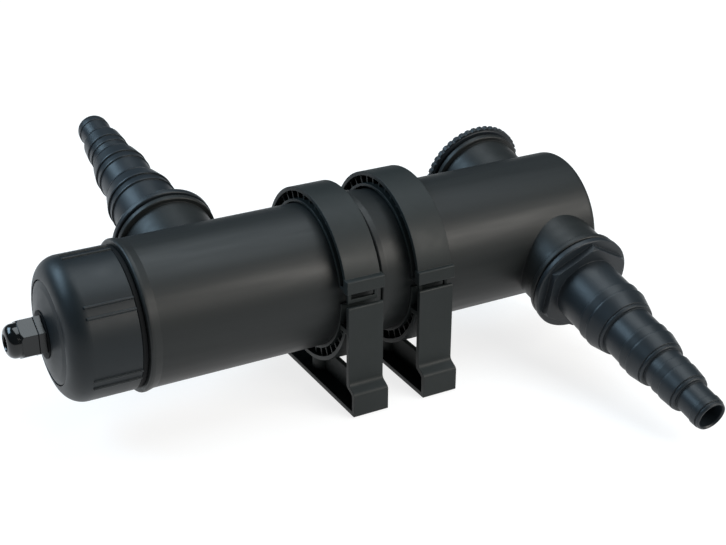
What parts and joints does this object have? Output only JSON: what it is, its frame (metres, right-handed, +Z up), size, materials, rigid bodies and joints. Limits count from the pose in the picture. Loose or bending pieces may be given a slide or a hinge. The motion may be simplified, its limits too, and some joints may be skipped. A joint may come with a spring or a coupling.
{
  "type": "uv clarifier",
  "caption": "Black plastic tube housing for an ultraviolet pond or aquarium clarifier, with hose tails, a blanked port, a union nut with cable gland, and hinged clamps.",
  "frame": {"origin": "middle of the object's footprint, on the plane that the clamp feet stand on", "axes": "+X along the tube from the lamp end to the closed end, +Y to the rear, where the capped port is, +Z up"},
  "size_m": [0.3456, 0.3494, 0.1123],
  "materials": {
    "black_tube": "satin",
    "black_fitting": "satin",
    "black_clamp": "matte",
    "gland_plastic": "gloss",
    "black_rubber": "matte",
    "quartz_glass": "clear",
    "lamp_glass": "clear",
    "white_plastic": "satin",
    "brass_pin": "brushed",
    "steel_screw": "brushed",
    "circuit_board": "satin",
    "copper_winding": "gloss",
    "capacitor_sleeve": "gloss",
    "lead_wire": "gloss",
    "slip_ring": "satin"
  },
  "bodies": {
    "clamps": {"clamp_base_left": "black_clamp", "clamp_base_right": "black_clamp", "hinge_pin_left": "black_clamp", "hinge_pin_right": "black_clamp"},
    "tube": {"inlet_tube": "black_tube", "outlet_tube": "black_tube", "neck_gasket": "black_rubber", "sleeve_centring_ring": "black_tube"},
    "lamp_unit": {"lamp_head": "black_fitting", "end_cover": "black_fitting", "head_o_ring": "black_rubber", "quartz_sleeve": "quartz_glass", "sleeve_seal": "black_rubber", "sleeve_nut": "black_fitting", "lamp_glass": "lamp_glass", "lamp_base": "white_plastic", "lamp_pins": "brass_pin", "lamp_holder": "white_plastic", "holder_screws": "steel_screw", "lamp_spacer": "black_rubber", "ballast_board": "circuit_board", "ballast_coil": "copper_winding", "ballast_capacitors": "capacitor_sleeve", "ballast_transformer": "copper_winding", "lamp_leads": "lead_wire", "gland_washer": "black_rubber", "gland_body": "gland_plastic", "gland_locknut": "gland_plastic"},
    "nut_ring": {"nut_slip_ring": "slip_ring"},
    "nut": {"cap_nut": "black_fitting"},
    "gland_bush": {"gland_seal": "black_rubber"},
    "gland_nut": {"gland_cap": "gland_plastic"},
    "front_gasket": {"front_tail_gasket": "black_rubber"},
    "front_tail": {"front_hose_tail": "black_fitting"},
    "rear_gasket": {"rear_tail_gasket": "black_rubber"},
    "rear_tail": {"rear_hose_tail": "black_fitting"},
    "cap_gasket": {"port_cap_gasket": "black_rubber"},
    "blank_cap": {"port_cap": "black_fitting"},
    "strap_left": {"clamp_strap_left": "black_clamp"},
    "strap_right": {"clamp_strap_right": "black_clamp"}
  },
  "joints": [
    {"name": "tube_turn", "type": "hinge", "parent": "clamps", "child": "tube", "pos_m": [0.02665, 0, 0.0622], "axis": [1, 0, 0], "range_deg": [-30, 3]},
    {"name": "lamp_unit_pull", "type": "slide", "parent": "tube", "child": "lamp_unit", "axis": [-1, 0, 0], "range_m": [0, 0.3]},
    {"name": "nut_travel", "type": "slide", "parent": "lamp_unit", "child": "nut_ring", "axis": [-1, 0, 0], "range_m": [0, 0.0205]},
    {"name": "nut_turn", "type": "hinge", "parent": "nut_ring", "child": "nut", "pos_m": [-0.12585, 0, 0.0622], "axis": [-1, 0, 0], "range_deg": [0, 1440]},
    {"name": "gland_travel", "type": "slide", "parent": "lamp_unit", "child": "gland_bush", "axis": [-1, 0, 0], "range_m": [0, 0.0065]},
    {"name": "gland_turn", "type": "hinge", "parent": "gland_bush", "child": "gland_nut", "pos_m": [-0.16285, 0, 0.0622], "axis": [-1, 0, 0], "range_deg": [0, 1440]},
    {"name": "front_tail_travel", "type": "slide", "parent": "tube", "child": "front_gasket", "axis": [0, -0.9724, -0.2334], "range_m": [0, 0.0165]},
    {"name": "front_tail_turn", "type": "hinge", "parent": "front_gasket", "child": "front_tail", "pos_m": [0.14085, -0.05834, 0.04819], "axis": [0, -0.9724, -0.2334], "range_deg": [0, 1440]},
    {"name": "rear_tail_travel", "type": "slide", "parent": "tube", "child": "rear_gasket", "axis": [0, 0.9724, 0.2334], "range_m": [0, 0.0165]},
    {"name": "rear_tail_turn", "type": "hinge", "parent": "rear_gasket", "child": "rear_tail", "pos_m": [-0.06485, 0.05834, 0.07621], "axis": [0, 0.9724, 0.2334], "range_deg": [0, 1440]},
    {"name": "blank_cap_travel", "type": "slide", "parent": "tube", "child": "cap_gasket", "axis": [0, 0.9724, 0.2334], "range_m": [0, 0.0165]},
    {"name": "blank_cap_turn", "type": "hinge", "parent": "cap_gasket", "child": "blank_cap", "pos_m": [0.14085, 0.05834, 0.07621], "axis": [0, 0.9724, 0.2334], "range_deg": [0, 1440]},
    {"name": "strap_left_open", "type": "hinge", "parent": "clamps", "child": "strap_left", "pos_m": [0.0059, 0.0485, 0.0622], "axis": [-1, 0, 0], "range_deg": [-0.4, 109.6]},
    {"name": "strap_right_open", "type": "hinge", "parent": "clamps", "child": "strap_right", "pos_m": [0.0494, 0.0485, 0.0622], "axis": [-1, 0, 0], "range_deg": [-1.4, 108.6]}
  ],
  "couplings": [
    {"joint": "nut_travel", "follows": "nut_turn", "m_per_rad": 0.00079577},
    {"joint": "gland_travel", "follows": "gland_turn", "m_per_rad": 0.00023873},
    {"joint": "front_tail_travel", "follows": "front_tail_turn", "m_per_rad": 0.00063662},
    {"joint": "rear_tail_travel", "follows": "rear_tail_turn", "m_per_rad": 0.00063662},
    {"joint": "blank_cap_travel", "follows": "blank_cap_turn", "m_per_rad": 0.00063662}
  ]
}
